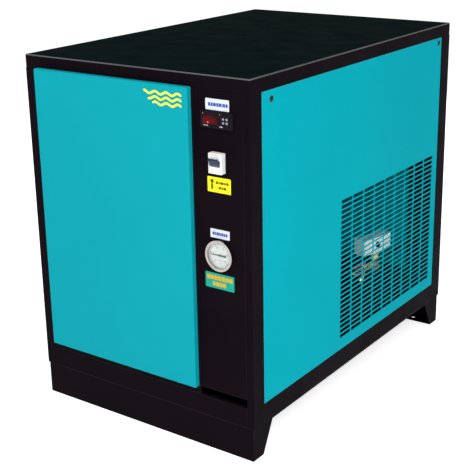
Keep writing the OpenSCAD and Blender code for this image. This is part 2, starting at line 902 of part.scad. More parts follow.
// Angles between the front and rear post flanges, which carry the shelf
module shelf_rails() {
    x = hw - rebate - frame_t;
    y = -hd + control_depth + 4;
    color("#1c1518") both_sides() union() {
        box([x - 3, y, shelf_z - 25], [x, rear_in + 30, shelf_z]);
        box([x - 25, y, shelf_z - 3], [x, rear_in + 30, shelf_z]);
    }
}

module water_separator() {
    color("#b9bec2") translate([sep_x, sep_y, 0]) union() {
        translate([0, 0, sep_z0]) cylinder(h = 145, r = sep_r);
        translate([0, 0, sep_z0]) mirror([0, 0, 1]) cap(sep_r, 10);
        translate([0, 0, sep_z0 + 105]) cylinder(h = 14, r = sep_r + 6);
        translate([0, 0, sep_z0 + 145]) cap(sep_r, 12);
        translate([0, 0, sep_z0 + 145]) cylinder(h = exch_z0 - sep_z0 - 145, r = 22);
        translate([0, 0, sep_z0 - 14]) cylinder(h = 14, r = 10);
    }
}

// Pipe from the heat exchanger through the rear panel, with a hexagonal socket
module air_pipe(x) {
    end = hd + rear_proud;
    difference() {
        union() {
            rod_y(x, exch_mid_z, exch_y1, end - 5, air_pipe_r);
            hex_y(x, exch_mid_z, end - 26, end, 2 * air_pipe_r + 8);
        }
        rod_y(x, exch_mid_z, end - socket_bore_l, end + 1, socket_bore_r);
        rod_y(x, exch_mid_z, exch_y1 + 5, end, socket_bore_r - 2.5);
    }
}

// Inlet on the right and outlet on the left, as seen from the front
module air_pipes() {
    color("#8a8f94") for (s = [-1, 1]) air_pipe(s * air_pipe_pitch / 2);
}

// ---------- Refrigerant side ----------

module liquid_receiver() {
    color("#16181a") translate([receiver_x, receiver_y, 0]) union() {
        translate([0, 0, base_h]) cylinder(h = 18, r = receiver_r - 8);
        translate([0, 0, base_h + 14]) cylinder(h = 182, r = receiver_r);
        translate([0, 0, base_h + 196]) cap(receiver_r, 18);
        for (s = [-1, 1]) {
            translate([0, s * receiver_port_dy, base_h + 190])
                cylinder(h = receiver_port_z - base_h - 190, r = tube_r + 2);
        }
    }
}

module filter_drier() {
    color("#a8683c") translate([receiver_x, drier_y, drier_top_z - drier_l]) union() {
        cylinder(h = drier_l, r = 6);
        translate([0, 0, 12]) cylinder(h = 20, r1 = 6, r2 = 22);
        translate([0, 0, 32]) cylinder(h = drier_l - 64, r = 22);
        translate([0, 0, drier_l - 32]) cylinder(h = 20, r1 = 22, r2 = 6);
    }
}

// Thin tube that hangs in a coil under the drier and then rises to the heat exchanger
module capillary_tube() {
    r = 1.5;
    turns = 6;
    coil_r = 30;
    top = drier_top_z - drier_l;
    coil_z = top - 36;
    low = coil_z - (turns - 1) * 2.4;
    color("#b87340") union() {
        tube([[receiver_x, drier_y, top], [receiver_x, drier_y, top - 22],
            [receiver_x - coil_r, drier_y, top - 22], [receiver_x - coil_r, drier_y, coil_z]], r, 6);
        for (i = [0 : turns - 1]) translate([receiver_x, drier_y, coil_z - i * 2.4])
            rotate_extrude() translate([coil_r, 0]) circle(r);
        tube([[receiver_x + coil_r, drier_y, low], [capillary_x, drier_y, low],
            [capillary_x, drier_y, exch_mid_z], [capillary_x, exch_y0 - exch_port, exch_mid_z]], r, 6);
    }
}

module discharge_line() {
    x = comp_x + port_dx;
    color("#b87340") tube([[x, comp_y, comp_top_z], [x, comp_y, discharge_z],
        [x, cond_port_y, discharge_z], [cond_port_x, cond_port_y, discharge_z]], tube_r, bend);
}

// Condenser to receiver, and receiver to filter drier
module liquid_lines() {
    over = receiver_port_z + 30;
    inlet_y = receiver_y - receiver_port_dy;
    outlet_y = receiver_y + receiver_port_dy;
    color("#b87340") union() {
        tube([[cond_port_x, cond_port_y, liquid_z], [receiver_x, cond_port_y, liquid_z],
            [receiver_x, cond_port_y, over], [receiver_x, inlet_y, over],
            [receiver_x, inlet_y, receiver_port_z]], tube_r, bend);
        tube([[receiver_x, outlet_y, receiver_port_z], [receiver_x, outlet_y, over + 46],
            [receiver_x, drier_y, over + 46], [receiver_x, drier_y, drier_top_z]], tube_r, bend);
    }
}

module suction_line() {
    x = comp_x - port_dx;
    color("#1a1c1c") tube([[x, comp_y, comp_top_z], [x, comp_y, exch_mid_z],
        [x, exch_y0 - exch_port, exch_mid_z]], suction_r, 26);
}

// Bypass valve between the discharge riser and the suction riser
module hot_gas_valve() {
    z = comp_top_z + 30;
    color("#c09a4a") difference() {
        union() {
            rod_x(comp_y, z, comp_x - port_dx, comp_x + port_dx, tube_r);
            box([comp_x - 11, comp_y - 14, z - 13], [comp_x + 17, comp_y + 14, z + 13]);
            translate([comp_x + 3, comp_y, z + 13]) cylinder(h = 26, r = 11);
        }
        translate([comp_x - port_dx, comp_y, z - 20]) cylinder(h = 40, r = suction_r);
        translate([comp_x + port_dx, comp_y, z - 20]) cylinder(h = 40, r = tube_r);
    }
}

// ---------- Drain ----------

module drain_line() {
    color("#b87340") union() {
        tube([[sep_x, sep_y, sep_z0 - 14], [sep_x, sep_y, drain_z],
            [drain_x, sep_y, drain_z], [drain_x, strainer_y0, drain_z]], drain_r, bend);
        rod_y(drain_x, drain_z, drain_y + valve_half, hd + rear_proud, drain_r);
        hex_y(drain_x, drain_z, hd - panel_recess, hd + 7, 20);
    }
}

module strainer_valve() {
    mid = (strainer_y0 + strainer_y1) / 2;
    color("#c09a4a") union() {
        rod_y(drain_x, drain_z, strainer_y0, strainer_y1, 9);
        hex_y(drain_x, drain_z, strainer_y0, strainer_y0 + 10, 21);
        hex_y(drain_x, drain_z, strainer_y1 - 10, strainer_y1, 21);
        translate([drain_x, mid, drain_z]) cylinder(h = 15, r = 7);
        translate([drain_x, mid, drain_z]) rotate([150, 0, 0]) cylinder(h = 30, r = 8);
    }
}

module strainer_lever() {
    mid = (strainer_y0 + strainer_y1) / 2;
    color("#b02020") translate([drain_x, mid, drain_z + 15]) union() {
        cylinder(h = 5, r = 7);
        box([-5, -52, 2], [5, 0, 5]);
    }
}

module drain_valve() {
    color("#c09a4a") translate([drain_x, 0, 0]) union() {
        box([-14, drain_y - 15, drain_z - 13], [14, drain_y + 15, drain_z + 13]);
        rod_y(0, drain_z, drain_y - valve_half, drain_y + valve_half, 9);
        translate([0, drain_y, drain_z + 13]) cylinder(h = 6, r = 8);
        translate([0, drain_y, drain_z + 19]) cylinder(h = timer_z0 - drain_z - 19, r = 17);
    }
}

// Timer housing, turned a little towards the front, with its knob on the outer face
module drain_timer() {
    s = timer_size;
    color("#e6e6e0") translate([drain_x, drain_y, timer_z0]) rotate([0, 0, timer_turn]) difference() {
        translate([-s.x / 2, -s.y / 2, 0]) cube(s);
        rod_x(0, s.z / 2, s.x / 2 - knob_sink, s.x / 2 + 1, knob_r + 0.5);
    }
}

module drain_timer_knob() {
    s = timer_size;
    color("#202020") translate([drain_x, drain_y, timer_z0]) rotate([0, 0, timer_turn]) {
        rod_x(0, s.z / 2, s.x / 2 - knob_sink + 0.2, s.x / 2 + 3, knob_r);
        box([s.x / 2 + 3, -1.5, s.z / 2 - knob_r + 1], [s.x / 2 + 6, 1.5, s.z / 2 + knob_r - 1]);
    }
}

// ---------- Rear fittings ----------

module cable_gland() {
    color("#1a1a1a") difference() {
        union() {
            rod_y(gland_x, gland_z, hd - 22, hd + 14, gland_body_r);
            hex_y(gland_x, gland_z, hd - panel_recess, hd + 5, 22);
            hex_y(gland_x, gland_z, hd + 7, hd + 18, 20);
            hex_y(gland_x, gland_z, hd - 15, hd - rebate, 22);
        }
        rod_y(gland_x, gland_z, hd - 23, hd + 19, gland_bore_r);
    }
}

base_front_plinth();
base_rear_plinth();
base_pan();
corner_posts();
bottom_rails();
top_rails();
door_sill();
centre_stile();
top_cover();
right_side_panel();
left_side_panel();
rear_panel();
panel_screws();
front_door();
door_seal();
door_hinges();
frame_hinges();
door_catches();
control_panel();
label_plates();
controller_case();
controller_window();
key(0);  // key_up
key(1);  // key_set
key(2);  // key_down
key(3);  // key_defrost
breaker_body();
breaker_toggle();
din_rail();
gauge_case();
gauge_dial();
gauge_pointer();
gauge_glass();
compressor();
compressor_grommets();
compressor_terminal_cover();
condenser_coil();
fan_shroud();
fan_guard();
fan_motor();
fan_blades();
heat_exchanger();
exchanger_shelf();
shelf_rails();
water_separator();
air_pipes();
liquid_receiver();
filter_drier();
capillary_tube();
discharge_line();
liquid_lines();
suction_line();
hot_gas_valve();
drain_line();
strainer_valve();
strainer_lever();
drain_valve();
drain_timer();
drain_timer_knob();
cable_gland();
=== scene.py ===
"""Looks of the refrigerated air dryer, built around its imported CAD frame. Metres, +Z up, front faces -Y."""

import json
import math

import bmesh
import bpy
from mathutils import Matrix, Vector


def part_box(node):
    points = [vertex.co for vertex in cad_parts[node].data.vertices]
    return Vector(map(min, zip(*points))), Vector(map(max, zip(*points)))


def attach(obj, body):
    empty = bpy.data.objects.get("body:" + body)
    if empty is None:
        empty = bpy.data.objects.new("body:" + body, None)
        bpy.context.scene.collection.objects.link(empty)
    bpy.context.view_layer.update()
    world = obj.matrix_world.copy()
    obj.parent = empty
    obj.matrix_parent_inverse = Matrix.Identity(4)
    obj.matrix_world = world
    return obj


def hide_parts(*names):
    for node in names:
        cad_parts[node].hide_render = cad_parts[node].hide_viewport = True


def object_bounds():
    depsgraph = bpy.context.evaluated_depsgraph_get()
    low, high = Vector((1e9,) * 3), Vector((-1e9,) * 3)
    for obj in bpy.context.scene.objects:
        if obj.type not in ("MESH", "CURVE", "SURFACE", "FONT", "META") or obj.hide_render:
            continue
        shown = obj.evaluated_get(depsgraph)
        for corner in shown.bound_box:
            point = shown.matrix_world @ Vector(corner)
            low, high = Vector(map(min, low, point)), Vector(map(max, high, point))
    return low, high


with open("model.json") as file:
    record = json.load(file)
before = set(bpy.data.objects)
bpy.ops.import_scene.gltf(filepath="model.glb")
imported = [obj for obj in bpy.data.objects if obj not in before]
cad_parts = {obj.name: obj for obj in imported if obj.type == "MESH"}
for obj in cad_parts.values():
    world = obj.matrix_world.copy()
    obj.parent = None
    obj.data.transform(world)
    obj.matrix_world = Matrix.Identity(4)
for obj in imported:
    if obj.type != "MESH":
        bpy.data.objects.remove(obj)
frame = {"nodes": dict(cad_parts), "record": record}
NODES = frame["nodes"]
CAD_LO, CAD_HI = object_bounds()
BODY_OF = {n: b for b, ns in frame["record"]["behaviour"]["bodies"].items() for n in ns}
MM = 0.001
SHARP = math.radians(38)


# ---------- Materials ----------

class Shader:
    """A Principled material with helpers that add procedural texture to its sockets."""

    def __init__(self, name, rough=0.5, metallic=0.0, specular=0.5):
        self.mat = bpy.data.materials.new(name)
        self.mat.use_nodes = True
        self.tree = self.mat.node_tree
        self.bsdf = self.tree.nodes["Principled BSDF"]
        self.bsdf.inputs["Roughness"].default_value = rough
        self.bsdf.inputs["Metallic"].default_value = metallic
        self.bsdf.inputs["Specular IOR Level"].default_value = specular
        self.coord = self.tree.nodes.new("ShaderNodeTexCoord")

    def node(self, kind, **inputs):
        made = self.tree.nodes.new(kind)
        for key, value in inputs.items():
            made.inputs[key.replace("_", " ")].default_value = value
        return made

    def link(self, a, b):
        self.tree.links.new(a, b)

    def placed(self, scale=(1, 1, 1), at=(0, 0, 0)):
        """Object coordinates, moved so that a point lies at zero, and stretched."""
        shift = self.node("ShaderNodeVectorMath")
        shift.operation = "SUBTRACT"
        shift.inputs[1].default_value = at
        self.link(self.coord.outputs["Object"], shift.inputs[0])
        stretch = self.node("ShaderNodeVectorMath")
        stretch.operation = "MULTIPLY"
        stretch.inputs[1].default_value = scale
        self.link(shift.outputs[0], stretch.inputs[0])
        return stretch.outputs[0]

    def noise(self, scale, detail=3.0, vector=None):
        made = self.node("ShaderNodeTexNoise", Scale=scale, Detail=detail)
        self.link(vector or self.coord.outputs["Object"], made.inputs["Vector"])
        return made.outputs["Fac"]

    def mapped(self, value, low, high, from_low=0.3, from_high=0.7):
        made = self.node("ShaderNodeMapRange", From_Min=from_low, From_Max=from_high,
                         To_Min=low, To_Max=high)
        self.link(value, made.inputs["Value"])
        return made.outputs["Result"]

    def mix(self, factor, first, second):
        """Mixes two colours; each is a colour or an output socket."""
        made = self.tree.nodes.new("ShaderNodeMix")
        made.data_type = "RGBA"
        self.link(factor, made.inputs["Factor"])
        for socket, value in ((made.inputs[6], first), (made.inputs[7], second)):
            if isinstance(value, tuple):
                socket.default_value = (*value, 1)
            else:
                self.link(value, socket)
        return made.outputs[2]

    def colour(self, base, spread=0.08, scale=7.0):
        """Base colour that drifts slowly between a darker and a lighter shade."""
        dark = tuple(c * (1 - spread) for c in base)
        light = tuple(min(1, c * (1 + spread)) for c in base)
        out = self.mix(self.mapped(self.noise(scale), 0, 1), dark, light)
        self.link(out, self.bsdf.inputs["Base Color"])
        return out

    def specks(self, under, tint, scale, share):
        """Fine specks of another colour over what is there; share is how much they cover."""
        dots = self.mapped(self.noise(scale, 2.0), 0, 1, 0.62 - share, 0.70 - share)
        out = self.mix(dots, under, tint)
        self.link(out, self.bsdf.inputs["Base Color"])
        return out

    def roughness(self, low, high, scale=40.0, vector=None):
        self.link(self.mapped(self.noise(scale, 4.0, vector), low, high), self.bsdf.inputs["Roughness"])

    def bump(self, scale, depth, strength=0.5, vector=None, detail=2.0):
        made = self.node("ShaderNodeBump", Strength=strength, Distance=depth)
        self.link(self.noise(scale, detail, vector), made.inputs["Height"])
        self.link(made.outputs["Normal"], self.bsdf.inputs["Normal"])


def powder(name, base, rough, specular, spread=0.10, peel=0.00003):
    """Powder coat: a fine orange peel, slow drift in colour, and a little uneven gloss."""
    s = Shader(name, rough, specular=specular)
    s.colour(base, spread, 5.0)
    s.roughness(rough - 0.06, rough + 0.07, 18.0)
    s.bump(900.0, peel, 0.55)
    return s.mat


def moulded(name, base, rough, specular=0.4):
    """Moulded plastic with a fine spark-eroded grain."""
    s = Shader(name, rough, specular=specular)
    s.colour(base, 0.05, 40.0)
    s.roughness(rough - 0.05, rough + 0.06, 160.0)
    s.bump(2500.0, 0.000015, 0.5)
    return s.mat


def metal(name, base, rough, spread=0.12, scale=30.0, stretch=(1, 1, 1), grain=500.0, depth=0.00001):
    """Bare metal; the stretch draws its grain out into brush or turning marks."""
    s = Shader(name, rough, metallic=1.0)
    s.colour(base, spread, scale)
    lines = s.placed(stretch)
    s.roughness(rough - 0.08, rough + 0.10, grain, lines)
    s.bump(grain, depth, 0.4, lines)
    return s.mat


def turned(name, base, rough, centre):
    """Turned metal with fine rings round an axis along Y."""
    s = Shader(name, rough, metallic=1.0)
    s.colour(base, 0.06, 60.0)
    rings = s.node("ShaderNodeTexWave", Scale=1100.0, Distortion=1.5, Detail=2.0)
    rings.wave_type = "RINGS"
    rings.rings_direction = "Y"
    s.link(s.placed(at=centre), rings.inputs["Vector"])
    s.link(s.mapped(rings.outputs["Fac"], rough - 0.05, rough + 0.08, 0, 1), s.bsdf.inputs["Roughness"])
    made = s.node("ShaderNodeBump", Strength=0.25, Distance=0.000006)
    s.link(rings.outputs["Fac"], made.inputs["Height"])
    s.link(made.outputs["Normal"], s.bsdf.inputs["Normal"])
    return s.mat


def copper_tube(name):
    """Drawn copper, browned in patches."""
    s = Shader(name, 0.32, metallic=1.0)
    bright = s.colour((0.78, 0.36, 0.20), 0.10, 60.0)
    brown = s.mapped(s.noise(26.0, 5.0), 0, 1, 0.48, 0.66)
    s.link(s.mix(brown, bright, (0.30, 0.12, 0.06)), s.bsdf.inputs["Base Color"])
    s.roughness(0.24, 0.48, 45.0)
    s.bump(700.0, 0.00001, 0.4)
    return s.mat


def foam(name, base, cell=420.0, depth=0.0004):
    """Closed-cell foam: small soft cells and a dusty sheen."""
    s = Shader(name, 0.85, specular=0.2)
    s.colour(base, 0.25, 22.0)
    cells = s.node("ShaderNodeTexVoronoi", Scale=cell)
    s.link(s.coord.outputs["Object"], cells.inputs["Vector"])
    made = s.node("ShaderNodeBump", Strength=0.6, Distance=depth)
    s.link(cells.outputs["Distance"], made.inputs["Height"])
    s.link(made.outputs["Normal"], s.bsdf.inputs["Normal"])
    s.bsdf.inputs["Sheen Weight"].default_value = 0.15
    return s.mat


def film(name, base, gloss=0.28):
    """Printed film with a faint halftone."""
    s = Shader(name, gloss, specular=0.12)
    under = s.colour(base, 0.04, 60.0)
    s.specks(under, tuple(c * 0.86 for c in base), 2600.0, 0.06)
    s.roughness(gloss - 0.05, gloss + 0.08, 90.0)
    s.bump(1500.0, 0.000008, 0.3)
    return s.mat


def glowing(name, base, light, strength):
    """A lit lamp behind a lens."""
    s = Shader(name, 0.3, specular=0.3)
    s.colour(base, 0.1, 300.0)
    s.bsdf.inputs["Emission Color"].default_value = (*light, 1)
    s.bsdf.inputs["Emission Strength"].default_value = strength
    return s.mat


def clear(name):
    """Clear flat glass with faint wipe marks."""
    s = Shader(name, 0.03, specular=0.5)
    s.colour((0.85, 0.92, 0.93), 0.03, 30.0)
    s.roughness(0.01, 0.06, 25.0)
    s.bsdf.inputs["IOR"].default_value = 1.5
    s.bsdf.inputs["Alpha"].default_value = 0.06
    return s.mat


def smoked_window_painted_glow(name, centre):
    """Smoked red lens over a display, with the faint glow of the lamp behind it painted into the base colour,
    lighter nearer the lamp.
    """
    s = Shader(name, 0.12, specular=0.06)
    near = s.node("ShaderNodeVectorMath")
    near.operation = "LENGTH"
    s.link(s.placed((1, 0, 1.6), centre), near.inputs[0])
    # Painted glow: the base colour lightens from near black to red towards the lamp, standing for its light
    # spilling behind the smoked lens.
    glow = s.mapped(near.outputs["Value"], 1, 0, 0.002, 0.026)
    under = s.mix(glow, (0.014, 0.0015, 0.003), (0.12, 0.003, 0.005))
    s.link(under, s.bsdf.inputs["Base Color"])
    s.roughness(0.08, 0.18, 120.0)
    s.bump(1800.0, 0.000004, 0.2)
    return s.mat


GAUGE_LO, GAUGE_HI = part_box("gauge_dial")
GAUGE_MID = (GAUGE_LO + GAUGE_HI) / 2
WINDOW_LO, WINDOW_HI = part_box("controller_window")
LAMP_AT = Vector((WINDOW_LO.x + 0.013, WINDOW_LO.y, WINDOW_LO.z + 0.0025))

FRAME_BLACK = powder("frame_black", (0.0052, 0.0029, 0.0050), 0.46, 0.010, 0.16)
# Painted highlight: a slightly lighter, glossier black for the bevels on the frame parts. It paints a faint
# gloss line along the edges, which also reads as edge wear.
FRAME_EDGE_HIGHLIGHT = powder("frame_edge_highlight", (0.0068, 0.0048, 0.0066), 0.38, 0.06, 0.25)
# Painted shade: a greener copy of the black, given to the top cover's top face alone for the tone the light
# gives the top. The cover's skirts stay frame black.
COVER_TOP_SHADE = powder("cover_black", (0.0004, 0.0052, 0.0055), 0.52, 0.003, 0.10)
# Painted highlight: a light grey for the top cover's rounded edges. It is a bright gloss line painted into
# the colour, and it also reads as edge wear.
COVER_EDGE_HIGHLIGHT = powder("cover_edge_highlight", (0.066, 0.071, 0.071), 0.28, 0.7, 0.3)
TEAL = powder("teal_paint", (0.0005, 0.335, 0.405), 0.46, 0.006, 0.03)
# Painted shade: a darker copy of the panels' teal for the front door, standing for the lighting on the front
# face.
DOOR_TEAL_SHADED = powder("door_teal", (0.004, 0.286, 0.340), 0.46, 0.012, 0.02)
# Painted highlight: a glossier, slightly lighter teal for the panels' bevelled edges. It is a faint gloss
# line that also reads as edge wear.
TEAL_EDGE_HIGHLIGHT = powder("teal_edge_highlight", (0.006, 0.345, 0.400), 0.32, 0.20, 0.04)
MACHINE_BLACK = powder("machine_black", (0.012, 0.012, 0.013), 0.26, 0.5, 0.25, 0.00002)
MOTOR_GREY = powder("motor_grey", (0.05, 0.055, 0.06), 0.38, 0.5, 0.2)
SCREW_BLACK = metal("screw_black", (0.045, 0.045, 0.05), 0.36, 0.2, 90.0)
BLACK_PLASTIC = moulded("black_plastic", (0.012, 0.011, 0.013), 0.42, 0.35)
BEZEL_PLASTIC = moulded("bezel_plastic", (0.0075, 0.0060, 0.0085), 0.40, 0.04)
KEY_PLASTIC = moulded("key_plastic", (0.26, 0.22, 0.31), 0.45, 0.2)
BREAKER_PLASTIC = moulded("breaker_plastic", (0.74, 0.77, 0.76), 0.42, 0.2)
BREAKER_SHADE = moulded("breaker_shade", (0.30, 0.32, 0.34), 0.5)
TOGGLE_PLASTIC = moulded("toggle_plastic", (0.012, 0.022, 0.060), 0.30, 0.5)
TIMER_PLASTIC = moulded("timer_plastic", (0.92, 0.95, 0.92), 0.35, 0.5)
RED_PLASTIC = moulded("red_plastic", (0.48, 0.018, 0.016), 0.32, 0.5)
WHITE_FILM = film("white_film", (0.58, 0.62, 0.71))
YELLOW_FILM = film("yellow_film", (0.82, 0.76, 0.008))
GREEN_FILM = film("green_film", (0.004, 0.30, 0.22))
BLUE_INK = film("blue_ink", (0.03, 0.05, 0.30), 0.4)
DARK_INK = film("dark_ink", (0.02, 0.02, 0.02), 0.4)
OLIVE_INK = film("olive_ink", (0.10, 0.085, 0.01), 0.4)
AMBER_INK = film("amber_ink", (0.56, 0.33, 0.010), 0.4)
YELLOW_INK = film("yellow_ink", (0.90, 0.86, 0.02), 0.4)
PALE_INK = film("pale_ink", (0.50, 0.50, 0.55), 0.4)
STRIPE_INK = film("stripe_ink", (0.62, 0.20, 0.20), 0.4)
DIM_RED = film("dim_red", (0.055, 0.003, 0.004), 0.3)
DIAL_WHITE = film("dial_white", (0.52, 0.56, 0.54), 0.35)
RED_LENS_PAINTED_GLOW = smoked_window_painted_glow("red_lens_painted_glow", LAMP_AT)
LAMP = glowing("lamp_red", (0.9, 0.05, 0.03), (1.0, 0.04, 0.02), 5.0)
GLASS = clear("clear_glass")
STEEL = turned("gauge_steel", (0.40, 0.37, 0.34), 0.24, GAUGE_MID)
ZINC = metal("zinc_steel", (0.60, 0.61, 0.60), 0.34, 0.15, 40.0, (30, 1, 1), grain=60.0)
PIPE_STEEL = metal("pipe_steel", (0.42, 0.43, 0.44), 0.42, 0.25, 50.0, grain=240.0, depth=0.00003)
ALUMINIUM = metal("aluminium", (0.70, 0.72, 0.73), 0.32, 0.14, 18.0, (1, 1, 8), grain=90.0)
CAST = metal("cast_aluminium", (0.52, 0.53, 0.54), 0.46, 0.12, 60.0, grain=900.0, depth=0.00006)
BLADE = metal("blade_sheet", (0.48, 0.50, 0.52), 0.36, 0.15, 40.0, (1, 1, 6), grain=120.0)
BRASS = metal("brass", (0.72, 0.50, 0.20), 0.30, 0.16, 55.0, grain=400.0)
COPPER = copper_tube("copper")
INSULATION = foam("insulation", (0.012, 0.013, 0.014))
SEAL_FOAM = foam("seal_foam", (0.016, 0.016, 0.017), 900.0, 0.0002)
RUBBER = foam("rubber", (0.015, 0.015, 0.015), 1500.0, 0.00005)


# ---------- Mesh tools ----------

def shaded(obj):
    """Smooth faces with hard edges kept, and normals that keep flat faces flat."""
    for face in obj.data.polygons:
        face.use_smooth = True
    obj.data.set_sharp_from_angle(angle=SHARP)
    weigh = obj.modifiers.new("weigh", "WEIGHTED_NORMAL")
    weigh.keep_sharp = True
    shown = obj.evaluated_get(bpy.context.evaluated_depsgraph_get())
    done = bpy.data.meshes.new_from_object(shown)
    done.name = obj.name
    obj.modifiers.clear()
    obj.data = done
    return obj


def finished(name, bm, mat, body, stands_for=()):
    """Turns a bmesh into a piece that rides on a body."""
    bmesh.ops.recalc_face_normals(bm, faces=bm.faces)
    mesh = bpy.data.meshes.new(name)
    bm.to_mesh(mesh)
    bm.free()
    for m in mat if isinstance(mat, list) else [mat]:
        mesh.materials.append(m)
    obj = bpy.data.objects.new(name, mesh)
    bpy.context.scene.collection.objects.link(obj)
    shaded(obj)
    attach(obj, body)
    if stands_for:
        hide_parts(*stands_for)
    return obj


def planes_of(vert, lo, hi, tol=2e-5):
    """The faces of the box lo..hi that a vertex lies on."""
    found = set()
    for i, axis in enumerate("xyz"):
        if abs(vert.co[i] - lo[i]) < tol:
            found.add("-" + axis)
        if abs(vert.co[i] - hi[i]) < tol:
            found.add("+" + axis)
    return found


def detail(node, mat, width=0.6, segments=2, round_edges=None, angle=50, edge_highlight_mat=None, top_shade_mat=None):
    """A refined copy of a CAD node: its outer edges rounded and its other sharp edges eased.
    round_edges is (width in mm, faces of the node's box that stay sharp). The bevels take the edge
    material, a lighter tone that paints a highlight along the edges and also reads as wear. The top material
    paints a shaded tone on the face on top."""
    mats = [mat, edge_highlight_mat] if edge_highlight_mat else [mat]
    edge_slot = len(mats) - 1
    lo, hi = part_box(node)
    bm = bmesh.new()
    bm.from_mesh(NODES[node].data)
    bmesh.ops.remove_doubles(bm, verts=bm.verts, dist=2e-6)
    bmesh.ops.dissolve_limit(bm, angle_limit=math.radians(0.6), verts=bm.verts, edges=bm.edges)
    if round_edges:
        big, skip = round_edges
        outer = []
        for e in bm.edges:
            shared = planes_of(e.verts[0], lo, hi) & planes_of(e.verts[1], lo, hi)
            if len(shared) >= 2 and not shared & set(skip):
                outer.append(e)
        bmesh.ops.bevel(bm, geom=outer, offset=big * MM, offset_type="OFFSET", segments=4, profile=0.5,
                        affect="EDGES", clamp_overlap=True, material=edge_slot)
    if width:
        sharp = [e for e in bm.edges
                 if len(e.link_faces) == 2 and e.calc_face_angle(0) > math.radians(angle)]
        bmesh.ops.bevel(bm, geom=sharp, offset=width * MM, offset_type="OFFSET", segments=segments,
                        profile=0.5, affect="EDGES", clamp_overlap=True, material=edge_slot)
    # Painted shade: the face on top gets the top material. Faces reaching more than 4 mm below the top go
    # back to the base material, which takes the painted edge highlight off the vertical corners.
    if top_shade_mat:
        mats.append(top_shade_mat)
        for face in bm.faces:
            if all(abs(v.co.z - hi.z) < 2e-5 for v in face.verts):
                face.material_index = len(mats) - 1
            elif min(v.co.z for v in face.verts) < hi.z - 4 * MM:
                face.material_index = 0
    return finished(node + "_detail", bm, mats, BODY_OF[node], (node,))


def prism(bm, outline, y_front, y_back):
    """Adds a solid from an outline in X and Z, between two planes across Y."""
    front = [bm.verts.new((x, y_front, z)) for x, z in outline]
    back = [bm.verts.new((x, y_back, z)) for x, z in outline]
    bm.faces.new(front)
    bm.faces.new(back[::-1])
    for i in range(len(outline)):
        j = (i + 1) % len(outline)
        bm.faces.new((front[j], front[i], back[i], back[j]))


def round_rect(cx, cz, w, h, r, steps=4):
    """Outline of a rectangle with round corners."""
    points = []
    for sx, sz, start in ((1, 1, 0), (-1, 1, 90), (-1, -1, 180), (1, -1, 270)):
        mid_x = cx + sx * (w / 2 - r)
        mid_z = cz + sz * (h / 2 - r)
        for k in range(steps + 1):
            a = math.radians(start + 90 * k / steps)
            points.append((mid_x + r * math.cos(a), mid_z + r * math.sin(a)))
    return points


def strip(points, width):
    """Outline of a band of even width along a path in X and Z, with round ends."""
    sides = [[], []]
    for i, (x, z) in enumerate(points):
        a, b = points[max(i - 1, 0)], points[min(i + 1, len(points) - 1)]
        d = Vector((b[0] - a[0], b[1] - a[1])).normalized() * width / 2
        sides[0].append((x - d.y, z + d.x))
        sides[1].append((x + d.y, z - d.x))

    def end(x, z, angle):
        return [(x + width / 2 * math.cos(angle + t), z + width / 2 * math.sin(angle + t))
                for t in (math.radians(k) for k in (30, 60, 90, 120, 150))]

    (x0, z0), (x1, z1) = points[0], points[-1]
    first = math.atan2(points[1][1] - z0, points[1][0] - x0)
    last = math.atan2(z1 - points[-2][1], x1 - points[-2][0])
    return sides[1] + end(x1, z1, last - math.pi / 2) + sides[0][::-1] + end(x0, z0, first + math.pi / 2)


def disc(cx, cz, r, steps=24):
    """Outline of a disc."""
    return [(cx + r * math.cos(2 * math.pi * k / steps), cz + r * math.sin(2 * math.pi * k / steps))
            for k in range(steps)]


def printed(name, outlines, y, mat, body, depth=0.06):
    """A raised print of the given outlines on a face at y."""
    bm = bmesh.new()
    for outline in outlines:
        prism(bm, outline, y - depth * MM, y + 0.01 * MM)
    return finished(name, bm, mat, body)


def box_into(bm, lo, hi):
    """A box between two opposite corners."""
    corners = [bm.verts.new((x, y, z))
               for x in (lo[0], hi[0]) for y in (lo[1], hi[1]) for z in (lo[2], hi[2])]
    for quad in ((0, 1, 3, 2), (4, 6, 7, 5), (0, 4, 5, 1), (2, 3, 7, 6), (0, 2, 6, 4), (1, 5, 7, 3)):
        bm.faces.new([corners[k] for k in quad])


def lathe_into(bm, profile, centre, axis, steps=48):
    """Turns a profile of (radius, distance along the axis) round an axis through centre."""
    axis = Vector(axis).normalized()
    side = axis.orthogonal().normalized()
    up = axis.cross(side)
    rings = []
    for r, d in profile:
        at = Vector(centre) + axis * d
        if r < 1e-7:
            rings.append([bm.verts.new(at)])
            continue
        rings.append([bm.verts.new(at + (side * math.cos(t) + up * math.sin(t)) * r)
                      for t in (2 * math.pi * k / steps for k in range(steps))])
    for a, b in zip(rings, rings[1:]):
        for k in range(steps):
            n = (k + 1) % steps
            if len(a) == 1 and len(b) == 1:
                continue
            if len(a) == 1:
                bm.faces.new((a[0], b[k], b[n]))
            elif len(b) == 1:
                bm.faces.new((a[k], b[0], a[n]))
            else:
                bm.faces.new((a[k], b[k], b[n], a[n]))


def tube_into(bm, points, r, steps=12):
    """A round tube along a path of points."""
    points = [Vector(p) for p in points]
    rings = []
    side = None
    for i, p in enumerate(points):
        along = (points[min(i + 1, len(points) - 1)] - points[max(i - 1, 0)]).normalized()
        side = along.orthogonal() if side is None else side - along * side.dot(along)
        side.normalize()
        up = along.cross(side)
        rings.append([bm.verts.new(p + (side * math.cos(t) + up * math.sin(t)) * r)
                      for t in (2 * math.pi * k / steps for k in range(steps))])
    for a, b in zip(rings, rings[1:]):
        for k in range(steps):
            n = (k + 1) % steps
            bm.faces.new((a[k], b[k], b[n], a[n]))
    bm.faces.new(rings[0][::-1])
    bm.faces.new(rings[-1])


# ---------- Cabinet ----------

# The door takes the darker, painted-shade copy of the teal.
detail("front_door", DOOR_TEAL_SHADED, 0.4, 2, (2.6, ("+y",)))
